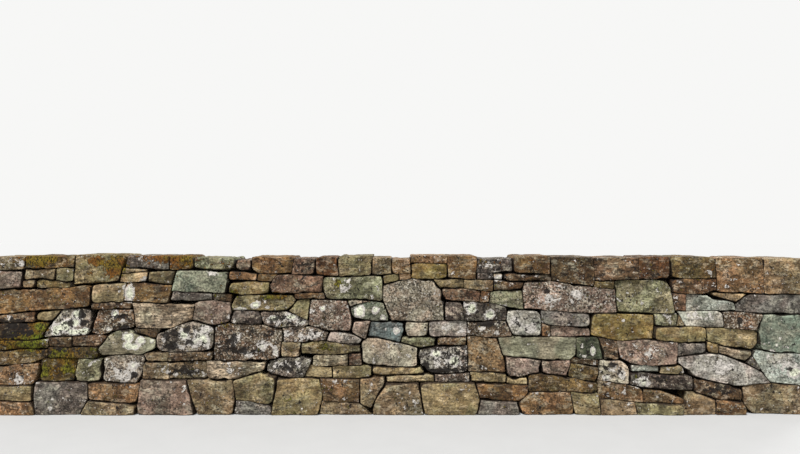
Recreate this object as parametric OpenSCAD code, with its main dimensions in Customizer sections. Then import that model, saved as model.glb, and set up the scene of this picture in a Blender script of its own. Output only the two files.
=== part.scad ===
// A dry stone retaining wall, laid without mortar and built up to about six bays long.
// Two skins of face stones lean towards each other over a core of packed small stones.
// Through stones, end stones, foundation stones and cap stones tie the skins together.
// X runs along the wall, the front face looks towards -Y, and Z is up.
// The origin is on the ground at the middle of the base.

/* [Wall] */
// Length of the wall
wall_length = 6656; // [5400:8:8000]
// Height of the wall, from the ground to the top of its tallest cap
wall_height = 1264; // [1000:8:1600]

/* [Section] */
// Length of a face stone, from its face to its tail
stone_depth = 190; // [150:5:260]
// Thickness of the packed core under the caps
core_at_top = 40; // [20:5:120]
// Lean of each face, in degrees from upright
batter = 4.75; // [2:0.25:8]
// How far the foundation stones stand out in front of the faces
foundation_projection = 24; // [10:1:60]

/* [Stones] */
// Clearance between two stones that bed on each other
bed_clearance = 0.3; // [0.1:0.05:0.8]
// Width of the worn arris round a stone's face
arris_width = 13; // [4:1:20]
// Depth of the worn arris behind a stone's face
arris_depth = 15; // [6:1:24]
// Most that a face stands proud of the line of the wall, or back from it
unevenness = 9; // [0:1:15]
// Height of the swell in the middle of a face
swell = 7; // [2:1:14]
// How far a stone may grow past its surveyed outline to bed on its neighbours
dressing_reach = 26; // [16:1:40]
// Shortest side that is kept on a dressed outline
shortest_side = 15; // [8:1:24]
// Side of the largest square face that counts as a pinning
largest_pinning = 84; // [60:2:110]
// Narrowest tongue of packing that is kept between two large stones
core_tongue = 16; // [8:1:30]

/* [Hidden] */
// Survey of the front face. Each stone is one row: its corners [along, up] in survey steps, read
// anticlockwise as seen from in front of the wall. The base of the wall is at 0 up.
survey_left = -16;
survey_right = 816;
survey_top = 158;

// Foundation stones, large and small, in one or two layers from the ground up
FOUNDATIONS = [
    [[-16, 0], [38, 0], [35, 12], [-16, 13]],
    [[-16, 14], [35, 13], [33, 26], [-16, 27]],
    [[40, 0], [82, 0], [90, 16], [88, 32], [35, 31], [37, 12]],
    [[84, 0], [137, 0], [133, 10], [93, 13]],
    [[93, 15], [133, 12], [140, 18], [140, 30], [90, 31], [92, 18]],
    [[139, 0], [196, 0], [190, 18], [187, 33], [142, 33], [139, 10]],
    [[198, 0], [233, 0], [236, 14], [232, 34], [189, 33], [192, 18]],
    [[235, 0], [271, 0], [267, 10], [238, 13]],
    [[238, 15], [267, 12], [274, 20], [276, 35], [246, 38], [234, 34]],
    [[273, 0], [318, 0], [322, 17], [319, 35], [278, 36]],
    [[320, 0], [372, 0], [358, 10], [325, 12]],
    [[325, 14], [358, 12], [360, 34], [321, 35]],
    [[361, 12], [372, 10], [385, 31], [385, 36], [362, 35]],
    [[374, 0], [423, 0], [418, 30], [387, 30], [374, 9]],
    [[425, 0], [475, 0], [478, 14], [474, 30], [420, 30]],
    [[477, 0], [519, 0], [515, 12], [481, 14]],
    [[480, 16], [519, 13], [526, 22], [526, 28], [477, 30]],
    [[521, 0], [572, 0], [568, 21], [528, 21], [518, 11]],
    [[574, 0], [598, 0], [597, 20], [570, 21]],
    [[600, 0], [634, 0], [632, 11], [599, 14]],
    [[636, 0], [679, 0], [679, 8], [634, 11]],
    [[681, 0], [712, 0], [712, 15], [686, 20]],
    [[714, 0], [741, 0], [741, 12], [714, 15]],
];

// Stones of the left end, from the bottom up. Every other one is a tie across the whole wall.
LEFT_END = [
    [[-16, 28], [37, 28], [40, 48], [-16, 46]],
    [[-16, 49], [30, 51], [43, 56], [46, 64], [-16, 62]],
    [[-16, 63], [45, 65], [47, 73], [-16, 72]],
    [[-16, 73], [40, 75], [49, 90], [-16, 89]],
    [[-16, 90], [20, 91], [34, 94], [35, 101], [-16, 97]],
    [[-16, 98], [87, 107], [89, 128], [14, 124], [-16, 120]],
    [[-16, 122], [19, 125], [20, 142], [-16, 141]],
];

// Stones of the right end, from the bottom up
RIGHT_END = [
    [[743, 13], [757, 0], [816, 0], [816, 26], [775, 31], [741, 27]],
    [[753, 56], [760, 45], [770, 33], [790, 29], [816, 27], [816, 57], [765, 63], [754, 61]],
    [[761, 68], [790, 59], [816, 59], [816, 96], [768, 97], [761, 85]],
    [[738, 102], [816, 99], [816, 117], [748, 118], [738, 110]],
];

// Long stones that cross the whole wall at about half its height
THROUGHS = [
    [[135, 85], [172, 86], [190, 93], [192, 108], [131, 109]],
    [[215, 56], [235, 54], [275, 55], [279, 63], [281, 83], [262, 87], [225, 89], [215, 86]],
    [[391, 92], [441, 92], [444, 98], [441, 123], [434, 131], [411, 134], [392, 130], [383, 125], [384, 113]],
    [[505, 61], [525, 55], [568, 55], [575, 60], [575, 75], [499, 75]],
    [[619, 101], [676, 100], [671, 133], [640, 132], [616, 130]],
    [[680, 50], [690, 41], [712, 33], [738, 28], [756, 29], [768, 33],
     [757, 44], [735, 54], [715, 59], [696, 57], [681, 54]],
];

CAPS = [
    [[-16, 142], [21, 144], [22, 156], [-16, 156]],
    [[24, 145], [70, 145], [71, 157], [24, 156]],
    [[72, 129], [118, 131], [124, 157], [73, 158]],
    [[126, 145], [166, 143], [166, 157], [127, 156]],
    [[168, 143], [191, 142], [190, 156], [168, 157]],
    [[194, 144], [232, 144], [233, 155], [192, 155]],
    [[234, 143], [249, 143], [249, 153], [235, 152]],
    [[250, 140], [290, 141], [293, 156], [250, 156]],
    [[292, 141], [313, 138], [313, 154], [294, 154]],
    [[314, 138], [334, 137], [338, 145], [336, 156], [315, 156]],
    [[339, 137], [371, 138], [372, 157], [338, 156]],
    [[374, 139], [391, 139], [391, 155], [373, 155]],
    [[392, 139], [410, 139], [410, 154], [392, 154]],
    [[411, 150], [447, 150], [447, 157], [411, 157]],
    [[449, 134], [476, 133], [478, 156], [449, 157]],
    [[480, 140], [514, 140], [514, 154], [479, 154]],
    [[516, 140], [550, 139], [551, 157], [515, 156]],
    [[553, 132], [592, 127], [594, 155], [553, 156]],
    [[596, 132], [640, 133], [640, 154], [595, 155]],
    [[641, 133], [672, 133], [672, 156], [641, 155]],
    [[674, 134], [716, 135], [717, 155], [673, 156]],
    [[720, 120], [765, 120], [764, 154], [720, 155]],
    [[767, 120], [816, 118], [816, 153], [767, 154]],
];

FACE_STONES = [
    // Levelling stones under the caps
    [[120, 139], [138, 141], [143, 144], [121, 143]],
    [[22, 134], [51, 134], [52, 143], [22, 143]],
    [[53, 133], [70, 132], [70, 143], [54, 144]],
    [[20, 125], [32, 126], [33, 133], [21, 133]],
    [[33, 125], [70, 125], [71, 131], [34, 133]],
    [[117, 132], [120, 129], [144, 131], [146, 140], [121, 138]],
    [[145, 130], [169, 128], [172, 142], [147, 140]],
    [[169, 122], [225, 120], [227, 141], [182, 143], [173, 138]],
    [[228, 133], [255, 132], [256, 139], [230, 142]],
    [[258, 132], [271, 131], [273, 138], [257, 138]],
    [[227, 120], [245, 117], [262, 118], [269, 127], [264, 131], [240, 132], [231, 129]],
    [[270, 121], [302, 120], [321, 121], [322, 137], [275, 138], [269, 130]],
    [[326, 117], [332, 113], [372, 113], [382, 117], [382, 135], [360, 136], [327, 134], [323, 128]],
    [[384, 129], [397, 131], [398, 138], [383, 137]],
    [[399, 132], [410, 133], [410, 138], [399, 138]],
    [[412, 135], [446, 135], [447, 147], [411, 149]],
    [[479, 133], [494, 132], [494, 138], [480, 139]],
    [[496, 133], [502, 133], [503, 138], [495, 138]],
    [[505, 132], [552, 132], [552, 138], [506, 139]],
    [[438, 125], [464, 124], [464, 132], [437, 132]],
    [[465, 124], [492, 121], [494, 132], [465, 133]],
    [[495, 122], [522, 123], [524, 128], [512, 131], [495, 132]],
    [[597, 126], [614, 123], [615, 132], [598, 132]],
    [[677, 120], [700, 119], [718, 125], [716, 133], [690, 134], [674, 133]],
    [[677, 103], [685, 103], [687, 117], [676, 118]],
    [[688, 104], [700, 102], [734, 102], [735, 110], [712, 116], [689, 117]],
    [[720, 115], [742, 112], [747, 116], [746, 119], [716, 120]],
    // Upper rows, left to right
    [[91, 111], [122, 112], [124, 130], [91, 128]],
    [[91, 104], [129, 105], [131, 110], [91, 109]],
    [[126, 111], [166, 110], [170, 123], [160, 128], [131, 129], [124, 120]],
    [[172, 111], [210, 113], [210, 119], [173, 119]],
    [[212, 113], [228, 112], [228, 118], [212, 119]],
    [[232, 103], [288, 102], [297, 112], [291, 118], [240, 117]],
    [[348, 107], [360, 109], [367, 112], [346, 112]],
    [[356, 93], [384, 91], [386, 97], [384, 108], [370, 110], [352, 105], [350, 101]],
    [[443, 112], [478, 111], [480, 121], [462, 123], [444, 122]],
    [[481, 111], [488, 110], [490, 119], [482, 120]],
    [[489, 110], [507, 107], [523, 105], [523, 120], [505, 122], [492, 119]],
    [[525, 103], [600, 98], [616, 102], [618, 110], [615, 123], [565, 130], [530, 131], [525, 125]],
    [[592, 81], [612, 74], [653, 73], [654, 99], [593, 100]],
    [[656, 88], [676, 87], [679, 97], [656, 99]],
    [[678, 87], [685, 87], [682, 95], [681, 95]],
    [[686, 86], [722, 85], [723, 96], [710, 101], [679, 101]],
    [[727, 85], [757, 84], [761, 95], [759, 99], [725, 100]],
    [[193, 94], [203, 90], [222, 90], [231, 98], [229, 110], [205, 112], [195, 107]],
    // Rows at half the height
    [[37, 93], [50, 92], [58, 102], [36, 100]],
    [[42, 76], [80, 78], [91, 87], [88, 103], [62, 102]],
    [[92, 82], [110, 79], [131, 84], [133, 95], [128, 103], [98, 102]],
    [[296, 113], [324, 113], [322, 119], [297, 119]],
    [[231, 94], [238, 90], [258, 92], [260, 99], [250, 102], [234, 101]],
    [[262, 94], [275, 86], [300, 87], [309, 93], [291, 100], [260, 101]],
    [[292, 98], [308, 96], [310, 110], [303, 113], [296, 111], [290, 103]],
    [[309, 88], [322, 83], [350, 82], [352, 93], [348, 111], [330, 113], [311, 112]],
    [[353, 80], [365, 76], [369, 91], [353, 92]],
    [[368, 79], [386, 72], [400, 73], [405, 89], [372, 90]],
    [[411, 77], [427, 77], [428, 90], [406, 89]],
    [[429, 77], [466, 77], [466, 91], [430, 90]],
    [[468, 77], [512, 77], [506, 91], [468, 91]],
    [[446, 93], [462, 93], [463, 101], [456, 109], [446, 110]],
    [[465, 93], [506, 93], [506, 103], [490, 108], [464, 110]],
    [[516, 79], [540, 77], [540, 94], [533, 101], [508, 100], [509, 90]],
    [[542, 91], [560, 88], [588, 86], [590, 97], [586, 100], [542, 101]],
    [[542, 77], [548, 77], [549, 87], [543, 88]],
    [[551, 77], [590, 77], [591, 85], [551, 87]],
    [[655, 74], [680, 71], [704, 72], [705, 81], [690, 86], [658, 87]],
    [[577, 56], [600, 53], [602, 59], [596, 73], [577, 75]],
    [[604, 55], [612, 53], [617, 57], [614, 71], [599, 74]],
    [[621, 56], [633, 49], [676, 48], [677, 70], [655, 72], [619, 72]],
    [[710, 72], [735, 65], [750, 63], [758, 70], [759, 77], [750, 82], [709, 84]],
    [[679, 56], [706, 60], [706, 69], [679, 69]],
    [[708, 60], [718, 59], [719, 67], [708, 69]],
    [[721, 60], [746, 51], [752, 58], [752, 63], [722, 67]],
    // Lower rows
    [[50, 66], [70, 68], [71, 76], [48, 74]],
    [[72, 68], [100, 68], [103, 75], [72, 77]],
    [[50, 56], [97, 56], [98, 66], [50, 65]],
    [[99, 64], [105, 58], [140, 59], [152, 64], [154, 75], [133, 82], [113, 82]],
    [[135, 79], [156, 78], [158, 84], [134, 84]],
    [[157, 68], [166, 62], [200, 62], [212, 68], [213, 85], [200, 89], [178, 86], [158, 77]],
    [[150, 52], [166, 53], [168, 60], [145, 59]],
    [[169, 53], [207, 54], [213, 61], [170, 60]],
    [[284, 73], [300, 71], [322, 73], [328, 80], [320, 84], [283, 84]],
    [[282, 58], [299, 57], [300, 70], [282, 70]],
    [[302, 61], [320, 59], [360, 62], [360, 67], [330, 71], [304, 70]],
    [[328, 72], [358, 69], [362, 75], [350, 80], [332, 81]],
    [[363, 52], [380, 48], [416, 47], [418, 67], [395, 71], [372, 76], [362, 71]],
    [[404, 68], [433, 67], [436, 75], [402, 76]],
    [[438, 68], [466, 69], [466, 75], [438, 75]],
    [[423, 47], [430, 41], [458, 40], [467, 44], [466, 66], [438, 66], [420, 63]],
    [[469, 42], [500, 41], [506, 45], [498, 75], [469, 75]],
    [[507, 43], [513, 37], [540, 41], [540, 53], [506, 58]],
    [[542, 41], [560, 38], [566, 39], [569, 51], [543, 53]],
    [[572, 50], [597, 47], [598, 52], [571, 53]],
    [[569, 40], [575, 36], [592, 35], [596, 43], [592, 48], [573, 49]],
    [[598, 36], [612, 31], [627, 29], [629, 44], [620, 52], [600, 52]],
    [[631, 42], [659, 42], [659, 47], [631, 49]],
    [[661, 39], [681, 40], [680, 47], [661, 47]],
    [[747, 50], [757, 45], [757, 51], [750, 55]],
    // Lowest rows, on the foundations
    [[42, 34], [75, 33], [78, 54], [42, 52]],
    [[77, 33], [101, 32], [102, 54], [80, 54]],
    [[105, 32], [134, 31], [142, 43], [143, 55], [108, 57], [104, 47]],
    [[145, 35], [204, 35], [205, 51], [146, 51]],
    [[208, 40], [220, 35], [245, 36], [263, 42], [265, 51], [207, 52]],
    [[267, 47], [271, 40], [290, 36], [306, 39], [311, 51], [300, 55], [272, 53]],
    [[314, 48], [347, 49], [348, 59], [315, 59]],
    [[306, 37], [332, 37], [332, 46], [309, 47]],
    [[334, 36], [371, 38], [372, 47], [334, 47]],
    [[350, 49], [360, 49], [361, 61], [350, 60]],
    [[377, 42], [400, 39], [421, 40], [421, 45], [374, 47]],
    [[387, 32], [433, 32], [433, 38], [392, 38]],
    [[435, 32], [469, 32], [469, 39], [435, 39]],
    [[471, 33], [505, 32], [505, 39], [471, 40]],
    [[507, 30], [525, 30], [525, 35], [507, 35]],
    [[528, 23], [590, 22], [596, 28], [575, 34], [545, 38], [528, 37]],
    [[598, 17], [640, 13], [640, 26], [612, 30], [598, 34]],
    [[642, 12], [682, 10], [682, 21], [650, 23], [642, 26]],
    [[631, 29], [650, 24], [690, 22], [692, 29], [686, 38], [631, 41]],
    [[694, 22], [715, 16], [737, 16], [740, 25], [700, 33], [693, 32]],
];

// What a stone does in the wall. A face stone ends at the core, a runner at the middle of the wall.
FACE = 0;
RUNNER = 1;
TIE = 2;
FOUNDATION = 3;
CAP = 4;

step_along = wall_length / (survey_right - survey_left);
step_up = wall_height / survey_top;

// Every stone of the front face, as [role, outline in mm, set it belongs to]
function to_mm(corner) = [
    (corner[0] - (survey_left + survey_right) / 2) * step_along,
    corner[1] * step_up
];
function stone_rows(outlines, role, set) = [
    for (i = [0 : len(outlines) - 1])
        [role < 0 ? (i % 2 == 0 ? TIE : RUNNER) : role, [for (c = outlines[i]) to_mm(c)], set]
];
alternating = -1;
STONES = concat(
    stone_rows(FOUNDATIONS, FOUNDATION, "foundation"),
    stone_rows(LEFT_END, alternating, "left_end"),
    stone_rows(RIGHT_END, alternating, "right_end"),
    stone_rows(THROUGHS, TIE, "through"),
    stone_rows(CAPS, CAP, "cap"),
    stone_rows(FACE_STONES, FACE, "face")
);

wall_left = -wall_length / 2;
wall_right = wall_length / 2;
lean = tan(batter);
half_base = core_at_top / 2 + stone_depth + lean * wall_height;

// Box round each surveyed outline, as [left, bottom, right, top]
BOXES = [
    for (s = STONES) [
        min([for (p = s[1]) p[0]]), min([for (p = s[1]) p[1]]),
        max([for (p = s[1]) p[0]]), max([for (p = s[1]) p[1]])
    ]
];

// A line is [normal, distance]. A point is kept when its distance along the normal is no more.
function over(point, line) = point * line[0] - line[1];
function cut(outline, line) = [
    for (i = [0 : len(outline) - 1])
        let (
            a = outline[i],
            b = outline[(i + 1) % len(outline)],
            over_a = over(a, line),
            over_b = over(b, line)
        )
        each concat(
            over_a <= 0 ? [a] : [],
            (over_a <= 0) != (over_b <= 0) ? [a + (b - a) * over_a / (over_a - over_b)] : []
        )
];
function cut_by_all(outline, lines, i = 0) =
    i == len(lines) || len(outline) == 0 ? outline : cut_by_all(cut(outline, lines[i]), lines, i + 1);

function outward(a, b) = let (d = (b - a) / norm(b - a)) [d[1], -d[0]];
function outward_normals(outline) = [
    for (i = [0 : len(outline) - 1]) outward(outline[i], outline[(i + 1) % len(outline)])
];

// The joint between two stones: the line square to the widest gap, midway across it.
// It comes out the same from either stone, so both are dressed to one line.
function gap_along(normal, mine, other) =
    let (
        near = max([for (p = mine) p * normal]),
        far = min([for (p = other) p * normal])
    )
    [far - near, normal, (near + far) / 2];
function joint_line(mine, other) =
    let (
        gaps = concat(
            [for (n = outward_normals(mine)) gap_along(n, mine, other)],
            [for (n = outward_normals(other)) gap_along(-n, mine, other)]
        ),
        widest = max([for (g = gaps) g[0]]),
        best = [for (g = gaps) if (g[0] == widest) g][0]
    )
    [best[1], best[2] - bed_clearance / 2];

function near_each_other(a, b) =
    a[0] < b[2] + 2 * dressing_reach && b[0] < a[2] + 2 * dressing_reach &&
    a[1] < b[3] + 2 * dressing_reach && b[1] < a[3] + 2 * dressing_reach;

// What a stone may not grow past: the ground, the level of its own top if it is a cap, and the
// two ends of the wall, where each end stone stops a little short in its own way
function limits(i) =
    let (short = rands(0, unevenness, 2, i + 500))
    concat(
        [[[0, -1], 0], [[-1, 0], -wall_left - short[0]], [[1, 0], wall_right - short[1]]],
        STONES[i][0] == CAP ? [[[0, 1], BOXES[i][3]]] : []
    );

function grown(i) =
    let (
        box = BOXES[i],
        outline = STONES[i][1],
        normals = outward_normals(outline),
        block = [
            [box[0] - dressing_reach, box[1] - dressing_reach],
            [box[2] + dressing_reach, box[1] - dressing_reach],
            [box[2] + dressing_reach, box[3] + dressing_reach],
            [box[0] - dressing_reach, box[3] + dressing_reach]
        ]
    )
    cut_by_all(block, [
        for (k = [0 : len(outline) - 1]) [normals[k], outline[k] * normals[k] + dressing_reach]
    ]);

function without_short_sides(outline) = [
    for (k = [0 : len(outline) - 1])
        if (norm(outline[k] - outline[(k + len(outline) - 1) % len(outline)]) > shortest_side) outline[k]
];

// The outline of stone i once it is dressed to every neighbour
function dressed(i) = without_short_sides(cut_by_all(grown(i), concat(
    limits(i),
    [
        for (k = [0 : len(STONES) - 1])
            if (k != i && near_each_other(BOXES[i], BOXES[k])) joint_line(STONES[i][1], STONES[k][1])
    ]
)));

// The outline moved inwards by a width, each side parallel to itself
function inset(outline, width) =
    let (count = len(outline), normals = outward_normals(outline))
    [
        for (k = [0 : count - 1])
            let (a = normals[(k + count - 1) % count], b = normals[k])
            outline[k] - width * (a + b) / (1 + a * b)
    ];
// The widest arris that leaves something of every side of the face
function room_for_arris(outline) =
    let (count = len(outline), moved = inset(outline, 1))
    min([
        for (k = [0 : count - 1])
            let (
                side = norm(outline[(k + 1) % count] - outline[k]),
                lost = side - norm(moved[(k + 1) % count] - moved[k])
            )
            lost > 0 ? side / lost : side
    ]);
arris_share = 0.7;
function own_arris(outline) = min(arris_width, arris_share * room_for_arris(outline));

function middle_of(outline) =
    [for (axis = [0, 1]) let (v = [for (p = outline) p[axis]]) (min(v) + max(v)) / 2];
function face_area(outline) =
    let (count = len(outline))
    sum([for (k = [0 : count - 1]) cross(outline[k], outline[(k + 1) % count])]) / 2;
function sum(values) = values * [for (v = values) 1];

// Distance of the face line of the wall in front of its middle plane, at a height
function face_line(height) = half_base - lean * height;

function face_ring(outline, forward) = [for (p = outline) [p[0], -face_line(p[1]) - forward, p[1]]];
function back_ring(outline, forward) = [for (p = outline) [p[0], face_line(p[1]) + forward, p[1]]];
function middle_ring(outline) = [for (p = outline) [p[0], -bed_clearance / 2, p[1]]];

// A closed solid lofted through rings of equal count, from the front to the back. Each end is
// closed by a low pyramid where a tip is given, and by a flat face where it is not.
module lofted_stone(rings, front_tip, back_tip = []) {
    count = len(rings[0]);
    points = concat([for (ring = rings) each ring], [front_tip], back_tip);
    tip = count * len(rings);
    last = tip - count;
    polyhedron(
        points = points,
        faces = concat(
            [for (k = [0 : count - 1]) [tip, (k + 1) % count, k]],
            [
                for (r = [0 : len(rings) - 2]) for (k = [0 : count - 1])
                    let (here = r * count + k, next = r * count + (k + 1) % count)
                    [here, next, next + count, here + count]
            ],
            len(back_tip) == 0
                ? [[for (k = [0 : count - 1]) last + k]]
                : [for (k = [0 : count - 1]) [last + k, last + (k + 1) % count, tip + 1]]
        )
    );
}

tip_wander = 0.25;
least_swell = 0.4;
// Tip of the low pyramid on a face: near its middle, and a swell in front of its ring
function tip_of(outline, seed) =
    let (
        middle = middle_of(outline),
        size = [for (axis = [0, 1]) max([for (p = outline) abs(p[axis] - middle[axis])])],
        draw = rands(-1, 1, 3, seed)
    )
    [
        middle[0] + draw[0] * tip_wander * size[0],
        middle[1] + draw[1] * tip_wander * size[1],
        swell * (least_swell + (1 - least_swell) * abs(draw[2]))
    ];

// Stone i as laid. The front skin takes side 0, and the back skin repeats it with side 1.
module stone(i, side = 0) {
    role = STONES[i][0];
    outline = dressed(i);
    arris = own_arris(outline);
    bevel = arris_depth * arris / arris_width;
    face = inset(outline, arris);
    proud = rands(-unevenness, unevenness, 2, i + 1);
    base = role == FOUNDATION ? foundation_projection : 0;
    forward = base + proud[side];
    tip = tip_of(face, i + 1000 * (side + 1));
    front_tip = [tip[0], -face_line(tip[1]) - forward - tip[2], tip[1]];
    front = [face_ring(face, forward), face_ring(outline, forward - bevel)];
    if (role == FACE) {
        lofted_stone(concat(front, [face_ring(outline, -stone_depth)]), front_tip);
    } else if (role == RUNNER) {
        lofted_stone(concat(front, [middle_ring(outline)]), front_tip);
    } else {
        backward = base + proud[1];
        back_tip = [tip[0], face_line(tip[1]) + backward + tip[2], tip[1]];
        back = [back_ring(outline, backward - bevel), back_ring(face, backward)];
        lofted_stone(concat(front, back), front_tip, [back_tip]);
    }
}

// Stones in a set, in the order of the survey
function in_set(set) = [for (i = [0 : len(STONES) - 1]) if (STONES[i][2] == set) i];
function is_pinning(i) = face_area(STONES[i][1]) < largest_pinning * largest_pinning;

// Courses are bands of equal height between the foundations and the caps
courses = 7;
survey_first_bed = 30;
survey_last_bed = 142;
first_bed = survey_first_bed * step_up;
last_bed = survey_last_bed * step_up;
function course_of(i) =
    let (height = middle_of(STONES[i][1])[1])
    max(0, min(courses - 1, floor((height - first_bed) / (last_bed - first_bed) * courses)));
function in_course(course) = [
    for (i = in_set("face")) if (!is_pinning(i) && course_of(i) == course) i
];
function pinnings() = [for (i = in_set("face")) if (is_pinning(i)) i];

module front_course(course) {
    color([0.47, 0.42, 0.36]) for (i = in_course(course)) stone(i);
}

module back_course(course) {
    color([0.47, 0.42, 0.36]) mirror([0, 1, 0]) for (i = in_course(course)) stone(i, 1);
}

module front_pinnings() {
    color([0.50, 0.44, 0.34]) for (i = pinnings()) stone(i);
}

module back_pinnings() {
    color([0.50, 0.44, 0.34]) mirror([0, 1, 0]) for (i = pinnings()) stone(i, 1);
}

module foundation_stones() {
    color([0.40, 0.33, 0.27]) for (i = in_set("foundation")) stone(i);
}

module through_stones() {
    color([0.48, 0.46, 0.40]) for (i = in_set("through")) stone(i);
}

// An end of the wall: ties across the whole wall, and pairs of runners between them
module end_stones(set) {
    color([0.42, 0.38, 0.32]) for (i = in_set(set)) {
        stone(i);
        if (STONES[i][0] == RUNNER) mirror([0, 1, 0]) stone(i, 1);
    }
}

module cap_stones() {
    color([0.43, 0.36, 0.28]) for (i = in_set("cap")) stone(i);
}

// Elevation of the packed core: what the stones that cross the wall leave free, below the caps
module core_elevation() {
    offset(delta = core_tongue / 2) offset(delta = -core_tongue / 2) difference() {
        translate([wall_left + stone_depth, 0]) square([wall_length - 2 * stone_depth, wall_height]);
        offset(delta = bed_clearance)
            for (i = [0 : len(STONES) - 1]) if (STONES[i][0] != FACE) polygon(dressed(i));
        for (i = in_set("cap")) let (outline = dressed(i), middle = middle_of(outline))
            translate([BOXES[i][0] - core_tongue / 2, middle[1]])
                square([BOXES[i][2] - BOXES[i][0] + core_tongue, wall_height]);
    }
}

// Small stones packed between the skins, as one mass that narrows upwards
module hearting() {
    color([0.33, 0.29, 0.25]) intersection() {
        rotate([90, 0, 0]) translate([0, 0, -half_base])
            linear_extrude(height = 2 * half_base) core_elevation();
        rotate([90, 0, 90]) translate([0, 0, wall_left])
            linear_extrude(height = wall_length)
                polygon([
                    [-core_half(0), 0], [core_half(0), 0],
                    [core_half(wall_height), wall_height], [-core_half(wall_height), wall_height]
                ]);
    }
}
function core_half(height) = face_line(height) - stone_depth - bed_clearance;

foundation_stones();
for (c = [1 : courses]) {
    front_course(c - 1);
    back_course(c - 1);
}
front_pinnings();
back_pinnings();
through_stones();
end_stones("left_end");  // left_end_stones
end_stones("right_end");  // right_end_stones
hearting();
cap_stones();
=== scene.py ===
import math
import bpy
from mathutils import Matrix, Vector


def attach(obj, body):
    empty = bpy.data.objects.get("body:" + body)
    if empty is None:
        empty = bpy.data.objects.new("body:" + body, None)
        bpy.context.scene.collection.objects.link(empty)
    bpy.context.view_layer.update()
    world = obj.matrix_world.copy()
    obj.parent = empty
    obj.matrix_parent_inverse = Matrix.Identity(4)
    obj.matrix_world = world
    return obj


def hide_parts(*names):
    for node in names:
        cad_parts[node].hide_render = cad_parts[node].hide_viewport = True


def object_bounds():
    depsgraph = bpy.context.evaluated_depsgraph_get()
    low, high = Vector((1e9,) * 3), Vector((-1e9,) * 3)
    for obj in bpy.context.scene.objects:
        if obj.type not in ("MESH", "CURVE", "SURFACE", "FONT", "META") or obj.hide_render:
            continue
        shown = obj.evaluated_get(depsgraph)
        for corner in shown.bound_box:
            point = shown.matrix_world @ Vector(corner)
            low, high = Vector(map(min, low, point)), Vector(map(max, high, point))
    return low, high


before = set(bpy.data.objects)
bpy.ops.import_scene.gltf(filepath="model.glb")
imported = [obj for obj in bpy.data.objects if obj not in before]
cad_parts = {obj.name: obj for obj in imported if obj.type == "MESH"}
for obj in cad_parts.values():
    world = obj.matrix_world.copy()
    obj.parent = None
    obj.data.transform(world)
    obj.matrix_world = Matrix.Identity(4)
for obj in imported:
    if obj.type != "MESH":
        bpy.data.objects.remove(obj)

# Dry stone wall: every packed stone is dressed again with worn arrises, a split face and open
# joints, and weathered with crust, moss and damp. All lengths are in metres.
from types import SimpleNamespace

import bpy
import numpy as np

cad_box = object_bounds()
cad_low, cad_high = (np.array([float(c) for c in corner]) for corner in cad_box)

# The survey of the face
SURVEY_STEP = 0.008      # one survey step along or up the face
SURVEY_MIDDLE = 400      # the step that lies at the middle of the wall's length
SURVEY_BOTTOM = 30       # foundation stones lower than this step aren't in the survey
SURVEY_BOTTOM_END = 740  # but right of this step they are
SAME_STONE = 9.0         # furthest that a laid place lies from its stone's middle, in steps
LEAN = 0.0831            # how far each face leans back for each metre of height

# How packed stones are told apart
SAME_POINT = 0.00005     # points this near are one
RING_GAP = 0.001         # rings of a packed stone stand further apart than this
MIDDLE_SLACK = 0.01      # a stone that ends this near the wall's middle plane ends at it
CROSSING_REACH = 0.15    # a stone that reaches this far past the middle crosses the wall

# How stones are dressed
FACE_STEP = 0.0094       # spacing of the points on a dressed face
BACK_STEP = 0.0107       # the same on the back face
BASE_STEP = 0.0125       # the same on the foundation stones
LINE_STEP = 0.002        # spacing of the points that carry an outline
RING_STEP = 0.036        # spacing of the rings that run round a side that shows
OPENING = 0.0022         # how far a stone's face edge stands back from the joint's middle
LEAST_OPENING = 0.0009   # the least that it does
JOINT_WANDER = 0.0065    # how far, roughly, a joint line wanders from the straight
SEATING = 0.075          # depth behind the face at which stones close up on each other
SIDE_DEPTHS = (0.007, 0.022, 0.045, SEATING)    # depths of the rings behind a face
TOUCH_REACH = 0.009      # a neighbour this near an edge covers it
ON_THE_FLOOR = 0.004     # an edge lower than this rests on the floor
DEEP_REACH = 0.022       # widest joint that a stone across the wall closes up behind the face
DEEP_FIT = 0.0005        # how far such a stone beds into its neighbours there
SET_BACK = 0.002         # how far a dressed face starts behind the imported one
MOST_ARRIS = 0.03        # widest worn arris
RIDGE = 0.0012           # how far the planes of a split face blend where they cross
MOST_SPLIT = 0.013       # furthest that a split face lies from its middle height
CLEAR_OF_BOX = 0.0004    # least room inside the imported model's box, but none at the base
THIN_STONE = 0.07        # a stone less high or long than this has smaller lumps
LOOK_SEED = 5000         # random seed of the first stone's look
DRESSING_SEED = 100      # random seed of the first stone's dressing
MOSS_FROM = 1.02         # height at which moss starts to gather on the caps
MOSS_TO = 1.26           # height at which it is thickest

# How stones are worn: each value is drawn from a range
WORN = {"round": (0.75, 1.5), "ragged": (0.8, 1.4), "opening": (0.7, 1.3), "arris": (0.8, 1.5),
        "swell": (0.4, 1.2), "lumps": (0.7, 1.3), "split": (0.7, 1.9), "bed": (0.018, 0.034)}

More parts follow.
